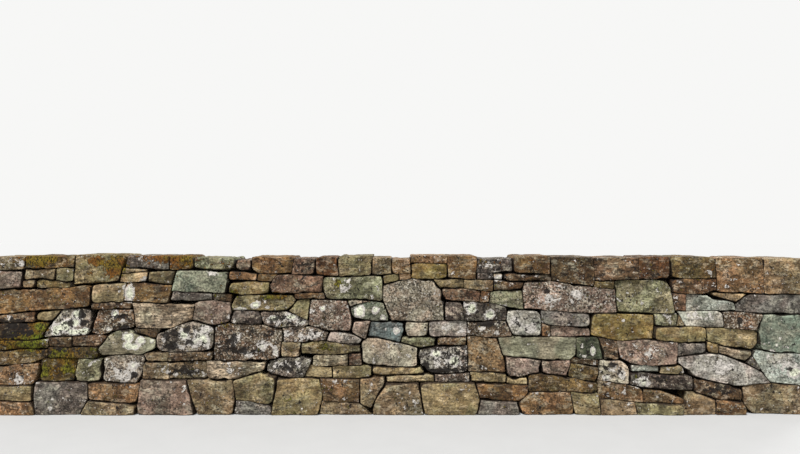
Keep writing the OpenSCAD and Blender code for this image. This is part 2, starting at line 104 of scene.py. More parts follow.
# Stone finishes: two colours as seen in daylight, from 0 to 255, six values from 0 to 1, and
# which stones are laid in each, by their middles in survey steps along and up the front face
FINISH_VALUES = ("main", "second", "bedding", "grain", "mottle", "crust", "moss", "damp")
FINISHES = {
    "grey_beige": ((150, 130, 100), (113, 95, 71), 0.25, 0.6, 0.7, 0.25, 0.05, 0.25, [
        (155, 56), (290, 62), (479, 126), (26, 129), (37, 138), (133, 141), (381, 146), (3, 148),
        (777, 15), (175, 42), (790, 135), (681, 92)]),
    "warm_beige": ((177, 156, 121), (138, 119, 88), 0.3, 0.5, 0.5, 0.2, 0.0, 0.2, [
        (318, 41), (131, 135), (731, 114), (516, 32), (47, 97), (672, 42), (409, 34), (107, 119)]),
    "layered_beige": ((178, 161, 136), (128, 111, 89), 0.9, 0.5, 0.6, 0.2, 0.0, 0.25, [
        (736, 58), (162, 97), (330, 53), (236, 43)]),
    "layered_brown": ((130, 106, 82), (86, 68, 50), 0.9, 0.6, 0.8, 0.3, 0.0, 0.4, [
        (190, 56), (88, 72), (608, 63), (617, 143)]),
    "golden_beige": ((160, 142, 101), (126, 109, 73), 0.2, 0.5, 0.35, 0.1, 0.0, 0.15, [
        (680, 78), (713, 65), (247, 124), (390, 133)]),
    "golden_ochre": ((138, 119, 74), (104, 88, 50), 0.2, 0.5, 0.4, 0.1, 0.05, 0.2, [
        (429, 141), (623, 85)]),
    "olive_beige": ((160, 144, 107), (125, 110, 78), 0.35, 0.5, 0.45, 0.15, 0.05, 0.2, [
        (61, 137), (353, 41), (733, 73), (398, 43)]),
    "olive_grey": ((136, 124, 91), (101, 91, 66), 0.3, 0.6, 0.5, 0.2, 0.1, 0.25, [
        (158, 135), (449, 128), (355, 146), (263, 109), (488, 35), (298, 102), (97, 143), (330, 65)]),
    "olive_brown": ((116, 97, 62), (77, 63, 38), 0.4, 0.6, 0.7, 0.2, 0.15, 0.35, [
        (605, 127), (16, 56), (51, 128), (16, 68), (47, 150), (695, 144), (562, 30), (582, 41)]),
    "brown_grey": ((143, 113, 82), (103, 80, 54), 0.25, 0.7, 0.7, 0.3, 0.05, 0.3, [
        (618, 22), (400, 146), (429, 153), (662, 16), (241, 137), (11, 38), (742, 137), (487, 57)]),
    "mid_brown": ((128, 98, 68), (90, 66, 44), 0.35, 0.7, 0.8, 0.25, 0.05, 0.35, [
        (545, 82), (309, 116), (696, 126), (9, 95)]),
    "dark_brown": ((97, 77, 54), (62, 48, 32), 0.35, 0.7, 0.8, 0.25, 0.1, 0.4, [
        (59, 71), (110, 106), (528, 135), (717, 24), (584, 51), (17, 81), (510, 127), (221, 115),
        # Painted shadow: (573, 141) is partly this dark for the shade of plants over it.
        (145, 79), (573, 141), (484, 115), (451, 71)]),
    "red_brown": ((101, 69, 42), (62, 43, 26), 0.3, 0.6, 0.6, 0.05, 0.1, 0.35, [
        # Painted shadow: the cap at (656, 144) is partly this dark for the shade of plants over it.
        (326, 146), (656, 144)]),
    "rust_brown": ((135, 104, 67), (94, 70, 46), 0.35, 0.6, 0.6, 0.1, 0.05, 0.3, [
        (37, 112), (146, 119), (265, 134), (271, 147), (404, 134), (463, 144), (533, 147)]),
    "purple_brown": ((123, 97, 78), (82, 63, 49), 0.3, 0.8, 0.75, 0.25, 0.0, 0.35, [
        (461, 117), (295, 128), (301, 145), (241, 146), (680, 110), (355, 54)]),
    "pink_grey": ((150, 129, 115), (110, 93, 80), 0.15, 0.8, 0.6, 0.3, 0.0, 0.2, [
        (647, 60), (360, 83), (570, 81), (2, 132), (523, 46), (555, 45), (211, 99)]),
    "pale_pink": ((175, 163, 153), (132, 121, 111), 0.15, 0.7, 0.55, 0.3, 0.0, 0.2, [
        (344, 75), (724, 43), (447, 83)]),
    "pale_grey": ((184, 182, 170), (145, 142, 130), 0.1, 0.7, 0.5, 0.3, 0.0, 0.2, [
        (702, 93), (783, 44), (524, 89), (644, 45), (711, 109)]),
    "pale_green": ((156, 151, 129), (126, 121, 100), 0.3, 0.4, 0.25, 0.1, 0.0, 0.15, [
        (537, 65), (126, 70)]),
    "grey_green": ((139, 136, 107), (107, 103, 78), 0.25, 0.7, 0.6, 0.3, 0.1, 0.3, [
        (667, 93), (212, 149), (352, 124), (418, 70), (646, 116), (506, 113), (89, 43)]),
    "blue_green": ((134, 141, 125), (108, 117, 103), 0.15, 0.6, 0.4, 0.15, 0.0, 0.2, [
        (787, 77)]),
    "slate_green": ((121, 126, 109), (96, 102, 88), 0.15, 0.8, 0.4, 0.15, 0.0, 0.2, [
        (198, 131), (369, 100)]),
    "blue_grey": ((112, 120, 118), (80, 87, 86), 0.3, 0.6, 0.4, 0.2, 0.0, 0.2, [
        (385, 80)]),
    "lilac_grey": ((131, 122, 114), (96, 89, 82), 0.25, 0.7, 0.6, 0.25, 0.05, 0.3, [
        (189, 116), (776, 108), (144, 149), (566, 93), (692, 62)]),
    "dark_green": ((78, 83, 64), (53, 58, 43), 0.2, 0.4, 0.3, 0.05, 0.05, 0.2, [
        (589, 64)]),
    "dark_grey": ((102, 91, 83), (67, 58, 52), 0.3, 0.8, 0.8, 0.35, 0.05, 0.45, [
        (486, 135), (485, 101), (496, 146), (752, 50), (245, 95), (454, 101), (660, 31)]),
    "speckled_grey": ((147, 136, 121), (113, 102, 88), 0.1, 1.0, 0.5, 0.3, 0.0, 0.25, [
        (413, 112), (123, 44)]),
    "speckled_pink": ((152, 131, 117), (109, 92, 79), 0.1, 1.0, 0.6, 0.3, 0.0, 0.3, [
        (330, 97), (571, 115)]),
    "speckled_brown": ((116, 93, 74), (77, 62, 48), 0.15, 1.0, 0.7, 0.3, 0.0, 0.4, [
        (248, 71), (111, 90), (743, 91), (490, 83)]),
    "cream": ((198, 182, 159), (154, 138, 117), 0.15, 0.6, 0.6, 0.35, 0.0, 0.25, [
        (416, 83), (613, 40), (390, 60), (358, 108), (499, 135)]),
    "white_crust": ((139, 127, 114), (93, 82, 72), 0.1, 0.8, 1.0, 0.6, 0.0, 0.5, [
        (66, 90), (184, 76), (284, 93), (305, 78), (451, 35), (288, 45)]),
    "black_crust": ((155, 144, 134), (103, 92, 84), 0.1, 0.9, 1.0, 0.5, 0.0, 0.9, [
        (443, 53)]),
    "mossy_brown": ((98, 80, 45), (65, 53, 29), 0.3, 0.6, 0.7, 0.1, 0.5, 0.4, [
        (73, 60), (60, 43), (179, 149)]),
}
LAID_FINISHES = [name for name, row in FINISHES.items() for _ in row[-1]]
LAID_PLACES = np.array([place for row in FINISHES.values() for place in row[-1]])
BACK_FINISHES = [name for name in LAID_FINISHES if name not in ("mossy_brown", "black_crust")]
BURIED_FINISHES = ("brown_grey", "mid_brown", "grey_beige", "olive_beige", "olive_grey",
                   "lilac_grey", "pink_grey", "rust_brown")

# Patches on the front face: survey steps along and up, reach along and up, strength.
MOSS = [
    (39, 86, 9, 6, 1.5), (27, 69, 16, 8, 1.3), (38, 76, 6, 3, 1.2), (68, 46, 9, 7, 0.6),
    (38, 154, 18, 8, 0.9), (114, 146, 11, 12, 0.95), (165, 157, 28, 6, 0.8), (94, 152, 7, 5, 0.9),
    (234, 120, 7, 5, 0.7), (273, 117, 13, 5, 0.8), (325, 66, 9, 4, 0.6), (225, 88, 11, 4, 0.5),
    (337, 129, 4, 4, 0.7), (5, 70, 12, 8, 0.5), (62, 56, 14, 6, 0.6), (46, 42, 8, 6, 0.6)]
CRUST = [
    (76, 99, 4, 4, 2), (75, 90, 4, 4, 2), (65, 87, 5, 5, 2), (74, 81, 6, 3, 2), (84, 82, 5, 3, 2),
    (56, 80, 4, 3, 1.6), (60, 90, 12, 8, 0.5), (43, 73, 5, 4, 2), (114, 99, 4, 4, 2),
    (122, 92, 3, 2, 1.4), (108, 84, 3, 2, 1.2), (128, 76, 6, 5, 2), (129, 67, 6, 4, 2),
    (141, 72, 5, 4, 2), (151, 72, 3, 3, 2), (112, 68, 8, 5, 0.5), (137, 66, 5, 3, 1.6),
    (207, 84, 6, 4, 1.1), (199, 77, 7, 5, 1.1), (184, 78, 6, 6, 1.5), (193, 69, 8, 5, 1.0),
    (206, 71, 4, 8, 1.0), (181, 66, 5, 3, 0.9), (128, 120, 6, 10, 2), (142, 134, 4, 5, 1.6),
    (255, 108, 5, 4, 2), (240, 104, 6, 2, 1.6), (268, 105, 6, 2, 1.0), (273, 94, 6, 3, 1.5),
    (290, 96, 8, 3, 1.2), (300, 90, 6, 3, 1.2), (360, 101, 5, 6, 2), (375, 103, 4, 4, 2),
    (383, 95, 3, 3, 1.6), (397, 82, 4, 3, 1.6), (472, 104, 5, 6, 2), (490, 98, 5, 5, 2),
    (482, 85, 4, 3, 1.4), (496, 80, 3, 2, 1.2), (462, 84, 8, 5, 1.0), (582, 67, 2, 3, 2),
    (593, 62, 3, 5, 2), (584, 57, 3, 2, 1.6), (524, 89, 19, 14, 0.35), (530, 84, 6, 5, 0.7),
    (514, 93, 4, 4, 0.9), (288, 80, 7, 4, 0.5), (316, 77, 8, 4, 0.6), (300, 75, 12, 6, 0.1),
    (614, 44, 12, 6, 0.7), (606, 36, 5, 3, 1.2), (622, 38, 4, 5, 1.1), (789, 47, 20, 12, 0.7),
    (795, 40, 8, 6, 1.2), (443, 54, 14, 9, 0.8), (436, 60, 5, 4, 1.4), (455, 52, 5, 6, 1.1),
    (640, 31, 9, 7, 1.3), (752, 86, 3, 2, 1.2), (10, 149, 14, 6, 0.5), (700, 96, 18, 6, 0.7),
    (20, 33, 16, 6, 0.7), (124, 38, 14, 8, 0.6), (134, 48, 5, 5, 1.2), (250, 60, 10, 5, 0.9),
    (262, 68, 6, 6, 0.9), (236, 76, 6, 5, 0.8), (276, 62, 3, 6, 1.1), (330, 106, 8, 4, 0.9),
    (322, 104, 3, 3, 1.4), (345, 128, 6, 8, 0.7), (377, 124, 3, 3, 1.4), (548, 112, 14, 8, 0.8),
    (580, 118, 12, 6, 0.8), (720, 46, 14, 7, 0.9), (652, 62, 8, 6, 0.6), (447, 86, 8, 5, 1.0),
    (213, 140, 8, 3, 1.1), (143, 154, 8, 3, 1.0), (284, 93, 18, 7, 0.35), (344, 76, 11, 5, 0.45),
    (780, 75, 1.6, 1.6, 2), (776, 68, 1.6, 1.6, 2), (499, 135, 5, 4, 1.6), (56, 84, 5, 4, 1.6),
    (160, 44, 12, 5, 0.7), (190, 41, 12, 4, 0.9), (236, 44, 16, 5, 0.45), (288, 46, 14, 6, 0.5)]
DAMP = [
    (172, 67, 5, 4, 1.5), (189, 71, 3, 2, 2), (186, 83, 3, 3, 1.8), (174, 80, 4, 3, 1.6),
    (166, 76, 3, 5, 0.9), (70, 90, 3, 3, 1.8), (81, 98, 3, 4, 1.3), (83, 90, 3, 3, 1.3),
    (426, 46, 3, 4, 1.3), (443, 43, 12, 2, 1.0), (14, 90, 16, 5, 1.0), (186, 43, 15, 6, 0.9),
    (524, 89, 20, 12, 0.4), (612, 42, 16, 8, 0.5), (8, 74, 16, 10, 1.0), (30, 78, 14, 10, 0.7),
    (60, 62, 24, 6, 0.6), (230, 72, 9, 10, 0.6), (262, 80, 14, 4, 0.4), (135, 39, 3, 3, 1.8),
    (590, 64, 12, 10, 0.4), (20, 40, 14, 6, 0.3), (300, 147, 14, 8, 0.5), (123, 84, 5, 4, 1.2),
    (120, 96, 10, 3, 0.9), (548, 122, 3, 3, 1.6), (485, 90, 12, 4, 1.0), (740, 92, 3, 3, 1.4),
    (536, 90, 3, 2, 0.5), (660, 35, 8, 4, 1.0), (718, 24, 16, 5, 0.7), (288, 46, 14, 6, 0.5),
    (613, 49, 5, 2, 1.0), (790, 44, 4, 3, 1.2), (245, 62, 22, 4, 0.7), (284, 93, 18, 7, 0.3)]


# Random fields
def lattice(i, j, k, seed):
    """A random number from -1 to 1 for each lattice point, from its whole-number place."""
    h = (i * 73856093) ^ (j * 19349663) ^ (k * 83492791) ^ (seed * 39916801 + 12345)
    h = ((h & 0xFFFFFFFF) ^ ((h & 0xFFFFFFFF) >> 15)) * 2246822519 & 0xFFFFFFFF
    h = (h ^ (h >> 13)) * 3266489917 & 0xFFFFFFFF
    return ((h ^ (h >> 16)) & 0xFFFFF) / 524287.5 - 1.0


def field(points, cell, seed, steep=1.0):
    """Smooth noise: random numbers on a lattice, blended between its points by 3t2 - 2t3. Where
    steep is over 1 the blend is squeezed to the middle, so that flat places meet in steps."""
    q = points / cell
    whole = np.floor(q).astype(np.int64)
    t = np.clip((q - whole - 0.5) * steep + 0.5, 0, 1)
    t = t * t * (3 - 2 * t)
    total = 0.0
    for a, b, c in np.ndindex(2, 2, 2):
        share = np.abs(1 - a - t[:, 0]) * np.abs(1 - b - t[:, 1]) * np.abs(1 - c - t[:, 2])
        total = total + share * lattice(*(whole + (a, b, c)).T, seed)
    return total


def roughness_field(points, cell, octaves, seed):
    """Noise at a cell size plus half as much at half the size, and so on."""
    return sum(field(points, cell / 2 ** n, seed + n) / 2 ** n for n in range(octaves))


def smooth(value, low, high):
    """0 below low, 1 above high, and 3t2 - 2t3 between."""
    t = np.clip((value - low) / (high - low), 0, 1)
    return t * t * (3 - 2 * t)


def to_light(colour):
    """A daylight colour from 0 to 255 as linear light."""
    c = np.asarray(colour, float) / 255
    return np.where(c <= 0.04045, c / 12.92, ((c + 0.055) / 1.055) ** 2.4)


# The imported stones
def packed_stones(node):
    """The separate solids of a CAD node: equal points are merged, and points that share a
    triangle take the lowest label among them until none changes."""
    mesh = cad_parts[node].data
    points = np.empty(len(mesh.vertices) * 3, np.float32)
    mesh.vertices.foreach_get("co", points)
    points = points.reshape(-1, 3).astype(float)
    mesh.calc_loop_triangles()
    corners = np.empty(len(mesh.loop_triangles) * 3, np.int32)
    mesh.loop_triangles.foreach_get("vertices", corners)
    keys = np.round(points / SAME_POINT).astype(np.int64)
    _, first, same = np.unique(keys, axis=0, return_index=True, return_inverse=True)
    points, corners = points[first], same.ravel()[corners].reshape(-1, 3)
    label = np.arange(len(points))
    while True:
        lowest = label[corners].min(1)
        new = label.copy()
        for k in range(3):
            np.minimum.at(new, corners[:, k], lowest)
        if (new == label).all():
            break
        label = new
    return [points[label == n] for n in np.unique(label)]


def levels_of(values):
    """The separate levels among values: the lowest of each run, where runs are RING_GAP apart."""
    order = np.sort(values)
    return order[np.concatenate([[0], np.flatnonzero(np.diff(order) > RING_GAP) + 1])]


def surveyed(points):
    """One packed stone read back. The points of each ring share one distance from the leaning
    face plane, and the third ring is the outline."""
    back = points[:, 1].min() > -MIDDLE_SLACK
    p = points * (1, -1, 1) if back else points
    stand = p[:, 1] - LEAN * p[:, 2]
    rings = levels_of(stand)
    ring = p[np.abs(stand - rings[2]) < RING_GAP][:, [0, 2]]
    middle = ring.mean(0)
    outline = ring[np.argsort(np.arctan2(*(ring - middle).T[::-1]))]
    deepest = p[:, 1].max()
    stone = SimpleNamespace(outline=outline, back=back, double=deepest > CROSSING_REACH,
                            face=rings[1], flat_end=None)
    if stone.double:
        stone.far = levels_of(-p[:, 1] - LEAN * p[:, 2])[1]
    elif deepest > -MIDDLE_SLACK:
        stone.flat_end = deepest
    else:
        stone.tail = stand.max()
    return stone


# Outlines
def in_space(flat, depth):
    """The points of a flat line or sheet as points in space, at a depth into the wall."""
    return np.stack([flat[:, 0], np.broadcast_to(depth, len(flat)), flat[:, 1]], 1)


def wandered(line):
    """An outline moved by a smooth field that all stones share, so that joints run crooked. It
    dies away at the wall's ends, base and top."""
    at = in_space(line, 0.0)
    shift = np.stack([field(at, 0.17, 71) + 0.5 * field(at, 0.075, 72),
                      field(at, 0.15, 73) + 0.5 * field(at, 0.07, 74)], 1) * JOINT_WANDER
    calm = (smooth(cad_high[0] - np.abs(line[:, 0]), 0.0, 0.08) * smooth(line[:, 1], 0.0, 0.06)
            * smooth(cad_high[2] - line[:, 1], -0.02, 0.06))
    return line + shift * calm[:, None]


def walked(outline, step):
    """Points an even step apart round a closed outline."""
    closed = np.vstack([outline, outline[:1]])
    along = np.concatenate([[0], np.cumsum(np.hypot(*np.diff(closed, axis=0).T))])
    count = max(24, int(round(along[-1] / step)))
    at = np.arange(count) * along[-1] / count
    return np.stack([np.interp(at, along, closed[:, c]) for c in (0, 1)], 1)


def eased(line, window):
    """A closed line averaged over a window, twice, so that corners turn."""
    line = line.reshape(len(line), -1)
    k = max(1, min(int(window), len(line) // 5)) | 1
    if k == 1:
        return line
    kernel = np.ones(k) / k
    for _ in range(2):
        wrapped = np.concatenate([line[-(k // 2):], line, line[:k // 2]])
        line = np.stack([np.convolve(wrapped[:, c], kernel, "valid")
                         for c in range(line.shape[1])], 1)
    return line


def outward_of(line):
    """The unit normal of a closed anticlockwise line: its direction turned a quarter right."""
    along = np.roll(line, -1, 0) - np.roll(line, 1, 0)
    along /= np.maximum(np.hypot(*along.T), 1e-9)[:, None]
    return np.stack([along[:, 1], -along[:, 0]], 1)


def inside_any(points, outlines):
    """Whether each point lies in an outline: a level line from it to the right crosses that
    outline an odd number of times."""
    found = np.zeros(len(points), bool)
    low, high = points.min(0), points.max(0)
    x, z = points[:, :1], points[:, 1:]
    for o in outlines:
        if (o.max(0) < low).any() or (o.min(0) > high).any():
            continue
        to = np.roll(o, -1, 0)
        rise = to[:, 1] - o[:, 1]
        slope = (to[:, 0] - o[:, 0]) / np.where(rise == 0, 1, rise)
        passes = (o[:, 1] > z) != (to[:, 1] > z)
        crosses = passes & (x < o[:, 0] + (z - o[:, 1]) * slope)
        found |= crosses.sum(1) % 2 == 1
    return found


def gap_ahead(points, ways, outlines, reach):
    """Distance from each point, straight along its way, to the first outline that it meets, or
    else reach: where p + t*way = corner + s*edge, with s from 0 to 1."""
    nearest = np.full(len(points), reach)
    low, high = points.min(0) - reach, points.max(0) + reach
    way_x, way_z = ways[:, :1], ways[:, 1:]
    for o in outlines:
        if (o.max(0) < low).any() or (o.min(0) > high).any():
            continue
        edge = np.roll(o, -1, 0) - o
        to = o[None] - points[:, None]
        turn = way_x * edge[:, 1] - way_z * edge[:, 0]
        turn = np.where(np.abs(turn) < 1e-9, 1e-9, turn)
        t = (to[..., 0] * edge[:, 1] - to[..., 1] * edge[:, 0]) / turn
        s = (to[..., 0] * way_z - to[..., 1] * way_x) / turn
        meets = (t > -0.001) & (s >= 0) & (s <= 1)
        nearest = np.minimum(nearest, np.where(meets, t, reach).min(1))
    return nearest


def slack_of(line, back):
    """How slack the joints are at each point: noise that neighbours share."""
    at = in_space(line, 5.5 * back)
    return field(at, 0.18, 14) + 0.5 * field(at, 0.07, 16)


def graded(length, step):
    """Places from 0 to 1 along a side: close together near both ends, and a step apart between."""
    border = np.array([0.3, 0.4, 0.55, 0.75]) * step
    border *= min(1, 0.3 * length / border.sum())
    middle = length - 2 * border.sum()
    count = max(1, int(round(middle / step)))
    widths = np.concatenate([border, np.full(count, middle / count), border[::-1]])
    return np.concatenate([[0], np.cumsum(widths)]) / length


def four_corners(line):
    """Places on a closed line that lie furthest to each of its box's four corners, kept apart."""
    low, high = line.min(0), line.max(0)
    q = (line - (low + high) / 2) / ((high - low) / 2)
    n = len(line)
    k = [int(np.argmax(q @ np.array(d))) for d in ((-1, -1), (1, -1), (1, 1), (-1, 1))]
    least = max(3, n // 14)
    for _ in range(3):
        for a in range(4):
            b = (a + 1) % 4
            gap = (k[b] - k[a]) % n
            if gap < least or gap > n - n // 4:
                gap = gap if gap < least else gap - n
                k[a] -= (least - gap + 1) // 2
                k[b] += (least - gap + 1) // 2
    return [c % n for c in k]


def patch_between(bottom, right, top, left, s, t):
    """A sheet spanned by four border lines: the sum of both straight blends between opposite
    borders, less the straight blend between the four corners."""
    S, T = s[:, None, None], t[None, :, None]
    across = (1 - T) * bottom[:, None] + T * top[:, None]
    upward = (1 - S) * left[None] + S * right[None]
    corners = ((1 - S) * (1 - T) * bottom[0] + S * (1 - T) * bottom[-1]
               + (1 - S) * T * top[0] + S * T * top[-1])
    return across + upward - corners


def nearest_on(points, ring):
    """Distance from each point to a closed ring of short edges, and the nearest edge."""
    a, b = ring, np.roll(ring, -1, 0)
    e = b - a
    to = points[:, None] - a[None]
    t = np.clip((to * e).sum(-1) / np.maximum((e * e).sum(-1), 1e-12), 0, 1)
    gap = to - t[..., None] * e
    d2 = (gap * gap).sum(-1)
    near = d2.argmin(1)
    return np.sqrt(d2[np.arange(len(points)), near]), near


# The edge and the face of one stone
def seating_of(stone, straight, line):
    """How each point of an outline is seated: how far it is covered, clear of the floor and
    held inside by a joint, from 0 to 1, and how far it grows there, the gap plus DEEP_FIT."""
    ways = outward_of(eased(straight, 5))
    covered = inside_any(straight + ways * TOUCH_REACH, stone.others)
    covered |= line[:, 1] < ON_THE_FLOOR
    covered = np.clip(eased(covered.astype(float), 7), 0, 1)[:, 0]
    held, growth = np.zeros((2, len(line)))
    if stone.double:
        gap = gap_ahead(straight, ways, stone.others, DEEP_REACH)
        held = (gap < DEEP_REACH) * 1.0
        growth = held * (np.maximum(gap, 0) + DEEP_FIT)
        held = np.clip(eased(held, 5), 0, 1)[:, 0]
    return np.stack([covered, smooth(line[:, 1], 0.0, 0.02), held, growth], 1)


def read_at(places, values):
    """Values given round a closed line, read between its points at fractional places."""
    closed = np.vstack([values, values[:1]])
    grid = np.arange(len(closed))
    return np.stack([np.interp(places, grid, column) for column in closed.T], 1)


def edge_of(stone, look, seed, rng):
    """The edge of a stone's face, at points graded along its four sides. Its corners turn more
    where joints are slack, and its rim stands back by the opening, a ragged line and chips."""
    straight = walked(stone.outline, LINE_STEP)
    size = np.ptp(straight, axis=0)
    small = size.min()
    line = wandered(straight)
    window = min(rng.uniform(0.022, 0.046) * look.round, 0.42 * small) / LINE_STEP
    tight, wide = eased(line, 0.4 * window), eased(line, 1.7 * window)
    turn = smooth(slack_of(line, stone.back), -0.2, 0.9)[:, None]
    rounded = tight + (wide - tight) * turn

    start = four_corners(rounded)
    spans = [(start[(a + 1) % 4] - start[a]) % len(line) for a in range(4)]
    lengths = [span * LINE_STEP for span in spans]
    s = graded((lengths[0] + lengths[2]) / 2, stone.step)
    t = graded((lengths[1] + lengths[3]) / 2, stone.step)
    shares = [s, t, 1 - s[::-1], 1 - t[::-1]]
    places = np.concatenate([start[a] + shares[a][:-1] * spans[a] for a in range(4)]) % len(line)

    soft = read_at(places, rounded)
    out = read_at(places, outward_of(eased(rounded, 5)))
    out /= np.maximum(np.hypot(*out.T), 1e-9)[:, None]
    hidden, lift, held, growth = read_at(places, seating_of(stone, straight, line)).T
    at = in_space(soft, seed * 0.37)
    ragged = (0.0020 * field(at, 0.06, 11) + 0.0020 * field(at, 0.026, 12)
              + 0.0014 * field(at, 0.012, 13)) * look.ragged
    chips = 0.007 * smooth(field(at, 0.07, 15), 0.35, 0.8) * look.ragged
    opening = OPENING * look.opening * np.exp(1.25 * slack_of(soft, stone.back))
    stand_back = np.clip(opening * (0.4 + 0.6 * hidden) + ragged + chips,
                         LEAST_OPENING, 0.24 * small) * lift
    return SimpleNamespace(
        s=s, t=t, size=size, small=small, centre=line.mean(0), exact=read_at(places, line),
        soft=soft, out=out, hidden=hidden, lift=lift, stand_back=stand_back,
        held=np.maximum(held, hidden), growth=growth[:, None],
        rim=soft - out * stand_back[:, None])


def sheet_within(edge):
    """The face inside a rim: a sheet spanned by the rim's four sides, its triangles, its border
    in order, and from each point the distance to the rim and the nearest place on it."""
    ns, nt = len(edge.s), len(edge.t)
    ring = np.vstack([edge.rim, edge.rim[:1]])
    cut = np.cumsum([0, ns - 1, nt - 1, ns - 1, nt - 1])
    bottom, right, top, left = (ring[cut[a]:cut[a + 1] + 1] for a in range(4))
    flat = patch_between(bottom, right, top[::-1], left[::-1], edge.s, edge.t).reshape(-1, 2)
    grid = np.arange(ns * nt).reshape(ns, nt)
    border = np.concatenate([grid[:-1, 0], grid[-1, :-1], grid[:0:-1, -1], grid[0, :0:-1]])
    inward, near = nearest_on(flat, edge.rim)
    inward[border] = 0
    cells = np.stack([grid[:-1, :-1], grid[1:, :-1], grid[1:, 1:], grid[:-1, 1:]], -1)
    cells = cells.reshape(-1, 4)
    faces = np.concatenate([cells[:, [0, 1, 2]], cells[:, [0, 2, 3]]])
    return SimpleNamespace(flat=flat, faces=faces, border=border, inward=inward, near=near)


def split_face(x, z, size, rng, strength):
    """Height of a split face: the lowest of a few tilted planes, blended where they cross. A
    tanh holds it near its middle height."""
    count = int(rng.integers(3, 6))
    heights = []
    for _ in range(count):
        slope = rng.normal(0, 1, 2) * strength
        at = rng.uniform(-0.5, 0.5, 2) * size
        heights.append(slope[0] * (x - at[0]) + slope[1] * (z - at[1])
                       + rng.uniform(0, 0.004))
    heights = np.array(heights)
    lowest = heights.min(0)
    lowest = lowest - RIDGE * np.log(np.exp(-(heights - lowest) / RIDGE).sum(0))
    return MOST_SPLIT * np.tanh((lowest - np.median(lowest)) / MOST_SPLIT)


def turned(x, z, tilt):
    """Places on the face, turned to the bedding: how far along it and how far up through it."""
    return x * math.cos(tilt) + z * math.sin(tilt), z * math.cos(tilt) - x * math.sin(tilt)


def relief(stone, look, edge, sheet, slack, seed, side, rng):
    """Depth of a face sheet behind its plane: a worn arris of quarter-circle section, less a
    low swell, the split face, lumps and bedding ledges."""
    at, small = in_space(sheet.flat, seed * 0.61 + side * 3.7), edge.small
    radius = np.clip(0.0042 * look.arris * np.exp(0.75 * slack + 0.5 * field(at, 0.05, 22))
                     + 0.013 * smooth(field(at, 0.12, 23), 0.35, 0.8), 0.0015, MOST_ARRIS)
    radius = np.minimum(radius, 0.3 * small)
    d = np.minimum(sheet.inward, radius)
    worn = radius - np.sqrt(np.maximum(radius ** 2 - (radius - d) ** 2, 0))
    x, z = sheet.flat[:, 0] - edge.centre[0], sheet.flat[:, 1] - edge.centre[1]
    warped = at + 0.02 * np.stack([field(at, 0.06, n) for n in (35, 36, 37)], 1)
    lumps = (0.0040 * roughness_field(at, max(0.05, 0.4 * small), 2, 31)
             + 0.0026 * field(warped, 0.055, 38, 2.4) + 0.0017 * field(warped, 0.028, 33, 1.8)
             + 0.0012 * field(at, 0.018, 34))
    run, up = turned(x, z, stone.tilt)
    beds = np.stack([run / 5, np.full(len(up), seed * 0.3 + side),
                     up + 0.012 * field(at, 0.16, 43)], 1)
    ledges = look.bedding * (0.0040 * field(beds, look.bed, 41, 2.6)
                             + 0.0018 * field(beds, 0.5 * look.bed, 42, 2.0))
    swell = 0.0045 * look.swell * (1 - np.exp(-sheet.inward / max(0.02, 0.2 * small)))
    split = split_face(x, z, edge.size, rng, 0.065 * look.split)
    return worn - swell - lumps * look.lumps - ledges - split


def wear_and_painted_light_of(edge, sheet, slack, seed):
    """Dirt and painted shade on a face, exp(-distance over reach) in from its covered edges and
    further where a noise lets it creep, and rubbed wear with a painted highlight, a bell of the
    distance round 8 mm in from the edge."""
    creep = smooth(field(in_space(sheet.flat, seed * 0.43), 0.075, 24), -0.1, 0.8)
    # Painted shade: the face darkens towards its covered edges, partly dirt that gathers there and
    # partly the shade that falls into the joints.
    dirt = (np.exp(-sheet.inward / 0.0026) * smooth(slack, -0.7, 0.25)
            + 0.42 * creep * np.exp(-sheet.inward / min(0.02, 0.13 * edge.small))
            ) * edge.hidden[sheet.near]
    # Painted highlight: a lighter band just inside the rim, partly rubbed wear.
    rub_and_highlight = np.exp(-((sheet.inward - 0.008) / 0.006) ** 2) * (0.6 + 0.5 * slack)
    return dirt, rub_and_highlight


# The sides of one stone
def face_plane(stand, z):
    """Depth of a leaning face plane at a height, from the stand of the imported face."""
    return stand + SET_BACK + LEAN * z


def rings_behind(stone, front, end, shows):
    """The rings of a stone's sides, each as its depth into the wall and its distance behind the
    nearer face: at set depths, evenly between where the side shows, and before a flat end."""
    room = float((end - front).min())
    depths = [d for d in SIDE_DEPTHS if d < 0.42 * room]
    rings = [(front + d, d) for d in depths]
    if shows:
        low, high = front + depths[-1], end - depths[-1]
        count = max(1, int(round((room - 2 * depths[-1]) / RING_STEP)))
        rings += [(low + (high - low) * (n / count), SEATING) for n in range(1, count)]
    if stone.double:
        return rings + [(end - d, d) for d in depths[::-1]]
    if stone.flat_end is not None:
        rings.append((end - 0.009, SEATING))
    return rings + [(end, SEATING)]


def side_ring(edge, look, depth, behind, seed):
    """One ring round a stone's side and its dirt. Behind the face it goes over from the rounded
    edge to the outline shared with neighbours, and bare sides are lumpy."""
    close = smooth(behind, 0.012, SEATING)
    at = np.stack([edge.soft[:, 0], depth + seed * 0.5, edge.soft[:, 1]], 1)
    lump = (0.0034 * field(at, 0.11, 51) + 0.0022 * field(at, 0.045, 52)) * look.lumps
    lump = (np.abs(lump) + lump * 0.3) * (1 - edge.hidden) * edge.lift
    place = edge.soft - edge.out * (edge.stand_back + lump)[:, None]
    share = (close * edge.held)[:, None]
    place = place * (1 - share) + (edge.exact + edge.out * edge.growth) * share
    return place, np.maximum(edge.hidden * smooth(behind, 0.0, 0.008), edge.held * close)


def strip(a, b):
    """Two triangles for each step between two rings of point numbers."""
    quads = np.stack([a, b, np.roll(b, -1), np.roll(a, -1)], 1)
    return np.concatenate([quads[:, [0, 1, 2]], quads[:, [0, 2, 3]]])


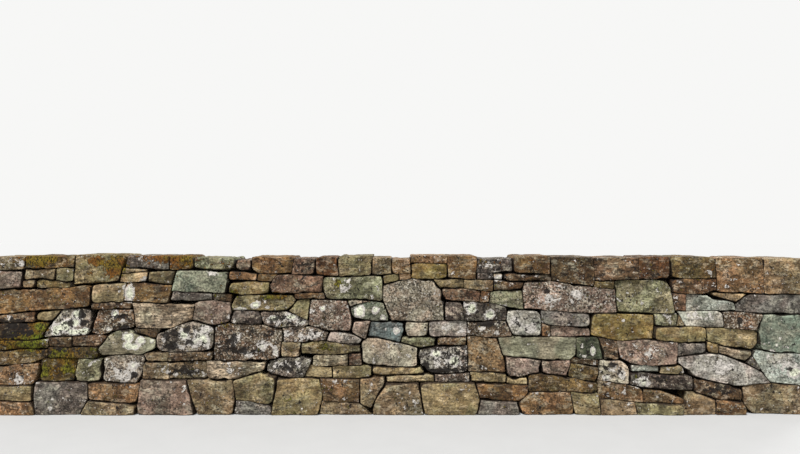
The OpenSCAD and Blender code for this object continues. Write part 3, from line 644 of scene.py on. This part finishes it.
def dress(stone, look, seed):
    """A laid stone as the points, triangles and surface values of a closed skin: a face sheet,
    rings back along its sides, and a second sheet or a plain end."""
    rng = np.random.default_rng(seed)
    edge = edge_of(stone, look, seed, rng)
    sheet = sheet_within(edge)
    slack = slack_of(sheet.flat, stone.back)
    grime_and_shade, rubbed_and_highlit = wear_and_painted_light_of(edge, sheet, slack, seed)
    height, rim_height, m = sheet.flat[:, 1], edge.rim[:, 1], len(edge.rim)

    depth = relief(stone, look, edge, sheet, slack, seed, 0, rng)
    front = face_plane(stone.face, rim_height) + depth[sheet.border]
    if stone.double:
        far_depth = relief(stone, look, edge, sheet, slack, seed, 1, rng)
        end = -face_plane(stone.far, rim_height) - far_depth[sheet.border]
    elif stone.flat_end is not None:
        end = np.full(m, stone.flat_end - 0.0006)
    else:
        end = stone.tail - 0.001 + LEAN * rim_height

    layers = [(in_space(sheet.flat, face_plane(stone.face, height) + depth), grime_and_shade, rubbed_and_highlit)]
    faces, previous, count = [sheet.faces], sheet.border, len(sheet.flat)
    rings = rings_behind(stone, front, end, edge.hidden.min() < 0.6)
    for number, (ring_depth, behind) in enumerate(rings):
        place, dirt = side_ring(edge, look, ring_depth, behind, seed)
        if number == len(rings) - 1 and not stone.double:
            place = place + (edge.centre - place) * min(0.08, 0.004 / edge.small)
        layers.append((in_space(place, ring_depth), dirt, np.zeros(m)))
        current = count + np.arange(m)
        faces.append(strip(previous, current))
        previous, count = current, count + m

    if stone.double:
        depth = -face_plane(stone.far, height) - far_depth
        layers.append((in_space(sheet.flat, depth), grime_and_shade, rubbed_and_highlit))
        faces += [sheet.faces[:, ::-1] + count, strip(previous, sheet.border + count)]
    else:
        layers.append((layers[-1][0].mean(0, keepdims=True), [1.0], [0.0]))
        faces.append(np.stack([previous, np.full(m, count), np.roll(previous, -1)], 1))

    points, dirt, rub_and_highlight = (np.concatenate(parts) for parts in zip(*layers))
    faces = np.concatenate(faces)
    low, high = cad_low + CLEAR_OF_BOX, cad_high - CLEAR_OF_BOX
    low[2] = 0.0
    points = np.clip(points, low, high)
    if stone.back:
        points, faces = points * (1, -1, 1), faces[:, ::-1]
    rub_and_highlight = np.clip(rub_and_highlight, 0, 1)
    values = surface_values(points, dirt, rub_and_highlight, stone, look, edge.centre, seed, rng)
    return points, faces, values


# What the finishes read
def patches(places, x, z):
    """Sum of round patches: strength times exp(-(distance over reach)^3), at most 2."""
    total = np.zeros(len(x))
    for along, up, reach_along, reach_up, strength in places:
        dx = (x / SURVEY_STEP + SURVEY_MIDDLE - along) / reach_along
        dz = (z / SURVEY_STEP - up) / reach_up
        near = np.abs(dx) + np.abs(dz) < 5
        total[near] += strength * np.exp(-(dx[near] ** 2 + dz[near] ** 2) ** 1.5)
    return np.minimum(total, 2.0)


def surface_values(points, dirt, rub_and_highlight, stone, look, centre, seed, rng):
    """Values at each point for the finishes: the stone's own coordinates (turned to its bedding
    and shifted by a random amount), its two colours (up to 30 % lighter near the rim, for
    rubbed wear and a painted highlight), coats (crust, moss, damp), wear and shade (bedding,
    dirt with painted shade, grain) and kind (mottle, rust, streak)."""
    n = len(points)
    run, up = turned(points[:, 0] - centre[0], points[:, 2] - centre[1], stone.tilt)
    rest = np.stack([run, points[:, 1], up], 1) + rng.uniform(-9, 9, 3)
    bright = math.exp(rng.normal(0, 0.06))
    warm = rng.normal(0, 0.02)
    shade = bright * np.array([1 + warm, 1.0, 1 - warm])
    # Up to 30 % lighter near the rim: rubbed wear and a painted highlight.
    rubbed_and_highlit = (1 + 0.3 * rub_and_highlight)[:, None]
    tone, tint = (np.concatenate([np.clip(to_light(colour) * shade * rubbed_and_highlit, 0, 1),
                                  np.ones((n, 1))], 1) for colour in (look.main, look.second))
    ragged = 0.05 * roughness_field(points, 0.09, 3, 77)
    face = smooth(ragged - points[:, 1], -0.06, 0.02)
    swing = 0.22 * roughness_field(points, 0.11, 2, 61 + seed % 7)
    placed = [0.0, 0.0, 0.0]
    if not stone.back:
        placed = [patches(p, points[:, 0], points[:, 2]) * face for p in (CRUST, MOSS, DAMP)]
    upward = smooth(points[:, 2], MOSS_FROM, MOSS_TO) * (0.14 if stone.node == "cap_stones" else 0)
    crust = look.crust * 0.62 + swing + placed[0]
    moss = look.moss * 0.6 + 0.5 * swing + upward + placed[1]
    damp = look.damp * 0.6 + 0.6 * swing + placed[2]
    return {"rest": rest, "tone": tone, "tint": tint,
            "coat": np.clip(np.stack([crust, moss, damp], 1), 0, 2),
            "wear_and_shade": np.stack([np.full(n, look.bedding), dirt, np.full(n, look.grain)], 1),
            "kind": np.tile([look.mottle, look.rust, look.streak], (n, 1))}


# Materials
class Nodes:
    """The nodes of a material or world, with short calls that add a node and join its inputs."""

    def __init__(self, owner):
        owner.use_nodes = True
        self.owner, self.tree = owner, owner.node_tree

    def join(self, value, socket):
        """Links a node's output to a socket, or sets the socket to a plain value. A colour of
        three numbers is one seen in daylight, from 0 to 255."""
        if isinstance(value, bpy.types.NodeSocket):
            self.tree.links.new(value, socket)
            return
        if socket.type == "RGBA" and len(value) == 3:
            value = (*[float(c) for c in to_light(value)], 1.0)
        socket.default_value = value

    def node(self, kind, inputs, output=0, **settings):
        """One new node, by the end of its type's name, and one of its outputs."""
        n = self.tree.nodes.new("ShaderNode" + kind)
        for key, value in settings.items():
            setattr(n, key, value)
        for socket, value in inputs.items():
            self.join(value, n.inputs[socket])
        return n.outputs[output]

    def math(self, operation, a, b=0.0, clamp=False):
        """One operation on two numbers."""
        return self.node("Math", {0: a, 1: b}, operation=operation, use_clamp=clamp)

    def times(self, a, b):
        """a * b."""
        return self.math("MULTIPLY", a, b)

    def sum_of(self, *parts):
        """Each part times its weight, added up."""
        total = None
        for part, weight in parts:
            term = part if weight == 1.0 else self.times(part, weight)
            total = term if total is None else self.math("ADD", total, term)
        return total

    def between(self, value, low, high, to_low=0.0, to_high=1.0):
        """to_low below low, to_high above high, and 3t2 - 2t3 of the way between."""
        return self.node("MapRange", {"Value": value, "From Min": low, "From Max": high,
                                      "To Min": to_low, "To Max": to_high},
                         interpolation_type="SMOOTHSTEP")

    def mix(self, share, a, b, blend="MIX"):
        """Colour a with a share of colour b over it."""
        return self.node("Mix", {0: share, 6: a, 7: b}, output=2, data_type="RGBA",
                         blend_type=blend)

    def shaded(self, colour, level):
        """A colour times a level or another colour."""
        return self.mix(1.0, colour, level, "MULTIPLY")

    def noise(self, at, scale, detail=3.0, rough=0.55):
        """Cloudy noise, mostly from 0.3 to 0.7."""
        return self.node("TexNoise", {"Vector": at, "Scale": scale, "Detail": detail,
                                      "Roughness": rough})

    def stretched(self, at, scale):
        """Coordinates scaled along each axis, so that a pattern on them is drawn out."""
        return self.node("Mapping", {"Vector": at, "Scale": scale})

    def value(self, name, output="Vector"):
        """A surface value of the piece."""
        return self.node("Attribute", {}, output=output, attribute_name=name)

    def parts(self, vector):
        """The three numbers of a vector."""
        n = self.tree.nodes.new("ShaderNodeSeparateXYZ")
        self.tree.links.new(vector, n.inputs[0])
        return n.outputs

    def surface(self, colour, roughness, specular, height=0.0, distance=0.0):
        """Joins what the surface is made from. Height is bump, distance metres for each unit."""
        inputs = self.tree.nodes["Principled BSDF"].inputs
        self.join(colour, inputs["Base Color"])
        self.join(roughness, inputs["Roughness"])
        self.join(specular, inputs["Specular IOR Level"])
        if distance:
            bump = {"Height": height, "Strength": 1.0, "Distance": distance}
            self.join(self.node("Bump", bump), inputs["Normal"])


def rock_patterns(f):
    """The surface values and noises that the finish of a stone reads, by name."""
    at = f.value("rest")
    flat = f.stretched(at, (0.6, 0.6, 1.0))
    r = SimpleNamespace(
        at=at, tone=f.value("tone", "Color"), tint=f.value("tint", "Color"),
        broad=f.noise(at, 7.5, 5.0, 0.62), shade=f.noise(at, 7.0, 3.0, 0.55),
        patch=f.noise(at, 15.0, 5.0, 0.66), pale=f.noise(flat, 24.0, 5.0, 0.68),
        dull=f.noise(flat, 20.0, 5.0, 0.7), fine=f.noise(at, 62.0, 2.0, 0.6),
        beds=f.noise(f.stretched(at, (0.16, 0.16, 1.0)), 64.0, 4.0, 0.66),
        seams=f.noise(f.stretched(at, (0.11, 0.11, 1.0)), 34.0, 3.0, 0.6))
    r.crust, r.moss, r.damp = f.parts(f.value("coat"))
    r.bedding, r.dirt, r.grain = f.parts(f.value("wear_and_shade"))
    r.mottle, r.rust, r.streak = f.parts(f.value("kind"))
    return r


def mottled(f, r):
    """Wide areas of a stone's two colours, then rusty, pale and dull places where a noise
    passes a level, and slow shifts of lightness and warmth."""
    colour = f.mix(f.between(r.broad, 0.44, 0.56), r.tone, r.tint)
    rusty = f.times(f.between(r.patch, 0.50, 0.60, 0.0, 0.4), r.rust)
    colour = f.mix(rusty, colour, (128, 91, 58))
    pale = f.times(f.between(r.pale, 0.52, 0.565, 0.0, 0.75), r.mottle)
    colour = f.mix(pale, colour, f.mix(0.5, r.tone, (206, 196, 174)))
    dull = f.times(f.between(r.dull, 0.52, 0.565, 0.0, 0.8), r.mottle)
    colour = f.mix(dull, colour, f.mix(0.6, r.tint, (38, 29, 21)))
    colour = f.shaded(colour, f.between(r.shade, 0.36, 0.64, 0.7, 1.28))
    return f.shaded(colour, f.mix(f.between(f.noise(r.at, 5.0, 3.0), 0.42, 0.58),
                                  (1.05, 0.99, 0.955, 1.0), (0.95, 1.01, 0.98, 1.0)))


def bedded(f, r, colour):
    """Streaks along the bedding, and cracks where a drawn-out noise passes its middle."""
    streaks = f.times(r.streak, f.between(r.pale, 0.42, 0.56, 0.3, 1.0))
    colour = f.mix(streaks, colour, f.shaded(colour, f.between(r.beds, 0.40, 0.60, 0.5, 1.45)))
    ridge = f.math("ABSOLUTE", f.math("SUBTRACT", r.seams, 0.5))
    crack = f.times(f.between(ridge, 0.004, 0.024, 1.0, 0.0), f.between(r.patch, 0.44, 0.54))
    crack = f.times(crack, r.bedding)
    return f.mix(f.times(crack, 0.85), colour, (38, 29, 22)), crack


def grained(f, r, colour):
    """Mineral grain, with pale flecks and dark pits on the most grained stones."""
    share = f.times(r.grain, f.between(r.dull, 0.40, 0.56, 0.35, 1.0))
    colour = f.mix(share, colour, f.shaded(colour, f.between(r.fine, 0.38, 0.62, 0.3, 1.7)))
    speckle = f.times(f.between(r.grain, 0.78, 1.0), f.between(r.pale, 0.42, 0.56, 0.25, 1.0))
    flecks = f.noise(r.at, 74.0, 1.0, 0.5)
    fleck = f.times(f.between(flecks, 0.57, 0.62, 0.0, 0.8), speckle)
    colour = f.mix(fleck, colour, (206, 198, 182))
    pit = f.times(f.between(flecks, 0.36, 0.41, 0.75, 0.0), speckle)
    return f.mix(pit, colour, (42, 34, 27))


def crusted(f, r, colour):
    """Pale crust in small spots and thick lobes, where noise plus the amount passes a level,
    greener where it is thick."""
    lobes = f.sum_of((r.crust, 0.22), (f.noise(r.at, 15.0, 6.0, 0.6), 1.0))
    spots = f.sum_of((r.crust, 0.15), (f.noise(r.at, 52.0, 4.0, 0.6), 1.0))
    share = f.math("MAXIMUM", f.between(lobes, 0.688, 0.704),
                   f.between(spots, 0.675, 0.70, 0.0, 0.85))
    thick = f.sum_of((r.broad, 2.0), (r.crust, 1.0))
    tint = f.mix(f.between(thick, 2.35, 2.75), (212, 205, 196), (232, 233, 208))
    tint = f.shaded(tint, f.between(r.fine, 0.36, 0.58, 0.7, 1.1))
    return f.mix(f.times(share, 0.95), colour, tint), share


def damped(f, r, colour):
    """Black damp in wide stains, and as pepper on mottled stone."""
    stains = f.sum_of((r.damp, 0.22), (f.noise(r.at, 24.0, 6.0, 0.68), 1.0))
    pepper = f.sum_of((r.damp, 0.12), (f.noise(r.at, 55.0, 3.0, 0.6), 1.0))
    share = f.math("MAXIMUM", f.between(stains, 0.645, 0.67, 0.0, 0.95),
                   f.times(f.between(pepper, 0.60, 0.635, 0.0, 0.85), r.mottle))
    return f.mix(share, colour, (27, 22, 19))


def mossed(f, r, colour, moss_colour, moss_rust):
    """Moss in tufts, with painted shade between them, and rusty where it is thin or the
    stone is light.
    """
    level = f.sum_of((r.moss, 0.36), (f.noise(r.at, 34.0, 5.0, 0.65), 1.0))
    share = f.between(level, 0.65, 0.70)
    grain = f.noise(f.stretched(r.at, (1.5, 1.5, 0.8)), 58.0, 4.0, 0.72)
    tuft = f.between(grain, 0.38, 0.62)
    # Painted shade: the dark colours between the tufts, where the bump is low.
    green = f.mix(tuft, (30, 28, 9), moss_colour)
    rusty = f.mix(tuft, (46, 28, 12), (148, 98, 38))
    rusty_share = f.math("MULTIPLY", f.between(r.shade, 0.40, 0.58, 0.3, 0.4 + moss_rust),
                         f.between(r.moss, 0.9, 1.5, 1.0, 0.2), clamp=True)
    tint = f.mix(rusty_share, green, rusty)
    lift = f.times(share, f.math("ADD", grain, 0.3))
    return f.mix(f.times(share, 0.94), colour, tint), share, lift


def weathered_stone(name, moss_colour=(124, 140, 40), moss_rust=0.4, dirt_colour=(40, 29, 22)):
    """Field stone: its rock, bedding and grain, then crust, damp, moss, and dirt with painted
    shade near the joints, each over those before. Crust and moss are raised in the bump, and
    cracks are sunk."""
    f = Nodes(bpy.data.materials.new(name))
    r = rock_patterns(f)
    colour, crack = bedded(f, r, mottled(f, r))
    colour, crust = crusted(f, r, grained(f, r, colour))
    colour = damped(f, r, colour)
    colour, moss, tufts = mossed(f, r, colour, moss_colour, moss_rust)
    # Dirt and painted shade: the colour darkens towards the joints by the dirt value.
    dirt = f.times(f.between(r.dirt, 0.10, 0.9), f.between(r.fine, 0.3, 0.6, 0.6, 1.0))
    colour = f.mix(dirt, colour, dirt_colour)
    roughness = f.math("MAXIMUM", f.between(r.fine, 0.3, 0.7, 0.78, 0.95), f.times(moss, 0.98))
    height = f.sum_of((r.fine, 0.8), (r.pale, 1.2), (f.times(r.beds, r.streak), 1.0),
                      (crack, -0.8), (crust, 0.2), (tufts, 1.2))
    f.surface(colour, roughness, 0.25, height, 0.011)
    return f.owner


def packed_rubble(name):
    """Hearting: broken stone of two sizes as rounded cells, dark between them."""
    f = Nodes(bpy.data.materials.new(name))
    at = f.node("TexCoord", {}, output="Object")
    colour = (92, 80, 66)
    height = 0.0
    for scale in (11.0, 26.0):
        cells = f.tree.nodes.new("ShaderNodeTexVoronoi")
        f.join(at, cells.inputs["Vector"])
        f.join(scale, cells.inputs["Scale"])
        shade = f.parts(cells.outputs["Color"])[0]
        colour = f.mix(f.between(shade, 0.0, 1.0, 0.15, 0.85), colour, (52, 44, 37))
        gap = f.between(cells.outputs["Distance"], 0.35, 0.75)
        colour = f.mix(f.times(gap, 0.9), colour, (28, 22, 18))
        height = f.math("SUBTRACT", height, gap)
    fine = f.noise(at, 120.0, 3.0, 0.7)
    height = f.sum_of((height, 1.0), (fine, 0.3))
    f.surface(colour, f.between(fine, 0.3, 0.7, 0.85, 0.97), 0.2, height, 0.012)
    return f.owner


# Pieces
def piece_from(skins, name, material):
    """One mesh object from dressed stones, with their surface values as point attributes."""
    starts = np.cumsum([0] + [len(skin[0]) for skin in skins])
    points = np.concatenate([skin[0] for skin in skins])
    faces = np.concatenate([skin[1] + start for skin, start in zip(skins, starts)])
    mesh = bpy.data.meshes.new(name)
    mesh.vertices.add(len(points))
    mesh.vertices.foreach_set("co", points.astype(np.float32).ravel())
    mesh.loops.add(len(faces) * 3)
    mesh.loops.foreach_set("vertex_index", faces.astype(np.int32).ravel())
    mesh.polygons.add(len(faces))
    mesh.polygons.foreach_set("loop_start", np.arange(0, len(faces) * 3, 3, dtype=np.int32))
    mesh.polygons.foreach_set("use_smooth", np.ones(len(faces), bool))
    mesh.update(calc_edges=True)
    for key in skins[0][2]:
        values = np.concatenate([skin[2][key] for skin in skins]).astype(np.float32)
        kind, part = ("COLOR", "color") if values.shape[1] == 4 else ("VECTOR", "vector")
        attribute = mesh.attributes.new(key, "FLOAT_" + kind, "POINT")
        attribute.data.foreach_set(part, values.ravel())
    mesh.materials.append(material)
    piece = bpy.data.objects.new(name, mesh)
    bpy.context.scene.collection.objects.link(piece)
    return piece


def finish_for(stone, at, rng):
    """The finish of a stone: the one laid nearest to its middle, or for a stone that the survey
    doesn't show, one drawn from a range."""
    low = at[0] < SURVEY_BOTTOM_END and at[1] < SURVEY_BOTTOM
    if stone.back or (low and stone.node == "foundation_stones"):
        drawn = BACK_FINISHES if stone.back else BURIED_FINISHES
        return drawn[int(rng.integers(len(drawn)))]
    gaps = np.hypot(*(LAID_PLACES - at).T)
    return LAID_FINISHES[gaps.argmin()] if gaps.min() < SAME_STONE else "brown_grey"


def look_of(stone, rng):
    """The look of a stone: its finish's values, and how it is worn, drawn from ranges."""
    low, high = stone.outline.min(0), stone.outline.max(0)
    at = (high + low) / 2 / SURVEY_STEP + (SURVEY_MIDDLE, 0)
    look = SimpleNamespace(**dict(zip(FINISH_VALUES, FINISHES[finish_for(stone, at, rng)])))
    for name, ends in WORN.items():
        setattr(look, name, rng.uniform(*ends))
    look.lumps *= 0.55 if (high - low).min() < THIN_STONE else 1.0
    look.rust = smooth(1 - look.main[2] / look.main[0], 0.22, 0.48) * rng.uniform(0.4, 1.0)
    look.streak = min(1.0, 0.05 + 0.85 * look.bedding + rng.uniform(0, 0.25))
    return look


def tilt_of(outline):
    """The slope of a stone's long axis, atan2(2 sum xz, sum xx - zz) / 2, at most 0.3."""
    line = walked(outline, 0.01)
    spread = line - line.mean(0)
    return float(np.clip(0.5 * math.atan2(2 * (spread[:, 0] * spread[:, 1]).sum(),
                                          (spread ** 2 * (1, -1)).sum()), -0.3, 0.3))


SLOTS = {"foundation_stones": "foundation_stone", "front_pinnings": "pinning_stone",
         "back_pinnings": "pinning_stone", "through_stones": "through_stone",
         "left_end_stones": "end_stone", "right_end_stones": "end_stone",
         "cap_stones": "cap_stone"}
SLOTS.update({f"front_course_{n}": "face_stone" for n in range(1, 8)})
SLOTS.update({f"back_course_{n}": "back_stone" for n in range(1, 8)})
FINISH_OF_SLOT = {slot: weathered_stone("weathered_" + slot) for slot in (
    "face_stone", "back_stone", "pinning_stone", "through_stone", "end_stone")}
FINISH_OF_SLOT["foundation_stone"] = weathered_stone("earthy_field_stone",
                                                     dirt_colour=(50, 37, 27))
FINISH_OF_SLOT["cap_stone"] = weathered_stone("mossy_cap_stone", moss_colour=(142, 126, 42),
                                              moss_rust=0.8)

stones = []
for node in SLOTS:
    for points in packed_stones(node):
        stone = surveyed(points)
        stone.node, stone.tilt = node, tilt_of(stone.outline)
        stone.step = BACK_STEP if stone.back else FACE_STEP
        if node == "foundation_stones":
            stone.step = BASE_STEP
        stones.append(stone)
fronts = [s for s in stones if not s.back]
backs = [s for s in stones if s.back or s.double]

dressed = {node: [] for node in SLOTS}
for number, stone in enumerate(stones):
    stone.others = [o.outline for o in (backs if stone.back else fronts) if o is not stone]
    look = look_of(stone, np.random.default_rng(LOOK_SEED + number))
    dressed[stone.node].append(dress(stone, look, DRESSING_SEED + number))

for node, skins in dressed.items():
    piece = piece_from(skins, "dressed_" + node, FINISH_OF_SLOT[SLOTS[node]])
    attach(piece, "root")
    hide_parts(node)

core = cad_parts["hearting"]
core.data.materials.clear()
core.data.materials.append(packed_rubble("packed_broken_stone"))

# Floor, light and camera
BACKDROP = (0.93, 0.93, 0.92, 1.0)
FLOOR_REACH = 60.0
FLOOR_DROP = 0.001       # how far the floor lies below the wall's base
SKY = 0.6                # strength of the light from all round
SUN_WIDTH = 22           # width of each sun in degrees, for soft shadows


def plain_floor():
    """A flat square sheet just under the wall's base, as far as the eye reaches. Straight from
    the camera it is a darker grey, and its light on the wall is that of a paler one."""
    corners = [(x * FLOOR_REACH, y * FLOOR_REACH, -FLOOR_DROP)
               for x, y in ((-1, -1), (1, -1), (1, 1), (-1, 1))]
    mesh = bpy.data.meshes.new("floor")
    mesh.from_pydata(corners, [], [(0, 1, 2, 3)])
    floor = bpy.data.objects.new("floor", mesh)
    bpy.context.scene.collection.objects.link(floor)
    f = Nodes(bpy.data.materials.new("pale_floor"))
    at = f.node("TexCoord", {}, output="Object")
    seen = f.node("LightPath", {}, output="Is Camera Ray")
    shade = f.between(f.noise(at, 3.0, 2.0), 0.3, 0.7)
    pale = f.mix(shade, (0.55, 0.55, 0.545, 1.0), (0.54, 0.54, 0.535, 1.0))
    f.surface(f.mix(seen, (0.36, 0.36, 0.35, 1.0), pale), 0.9, 0.0)
    mesh.materials.append(f.owner)
    return floor


def soft_sun(name, azimuth, elevation, strength):
    """A sun as wide as a large softbox, from an azimuth off the front and a height in degrees."""
    data = bpy.data.lights.new(name, "SUN")
    data.energy, data.angle = strength, math.radians(SUN_WIDTH)
    light = bpy.data.objects.new(name, data)
    bpy.context.scene.collection.objects.link(light)
    light.rotation_euler = (math.radians(90 - elevation), 0.0, math.radians(azimuth))
    return light


def studio_world():
    """Even light from all round, with the backdrop's colour in its place where the camera or a
    reflection looks at it."""
    world = bpy.data.worlds.new("studio")
    bpy.context.scene.world = world
    w = Nodes(world)
    sky = w.tree.nodes["Background"]
    sky.inputs["Color"].default_value = (1.0, 1.0, 1.0, 1.0)
    sky.inputs["Strength"].default_value = SKY
    plain = w.node("Background", {"Color": BACKDROP, "Strength": 1.0})
    looked_at = w.math("MAXIMUM", w.node("LightPath", {}, output="Is Camera Ray"),
                       w.node("LightPath", {}, output="Is Glossy Ray"))
    chosen = w.node("MixShader", {0: looked_at, 1: sky.outputs[0], 2: plain})
    w.join(chosen, w.tree.nodes["World Output"].inputs["Surface"])


plain_floor()
soft_sun("key_light", -36, 58, 3.3)
soft_sun("back_light", 144, 30, 1.3)
studio_world()

camera_data = bpy.data.cameras.new("camera")
camera_data.sensor_width = 36.0
camera_data.lens = 33.75
camera = bpy.data.objects.new("camera", camera_data)
bpy.context.scene.collection.objects.link(camera)
camera.location = (0.0, -6.27, 1.488)
camera.rotation_euler = (math.pi / 2, 0.0, 0.0)
bpy.context.scene.camera = camera
bpy.context.scene.view_settings.view_transform = "Standard"
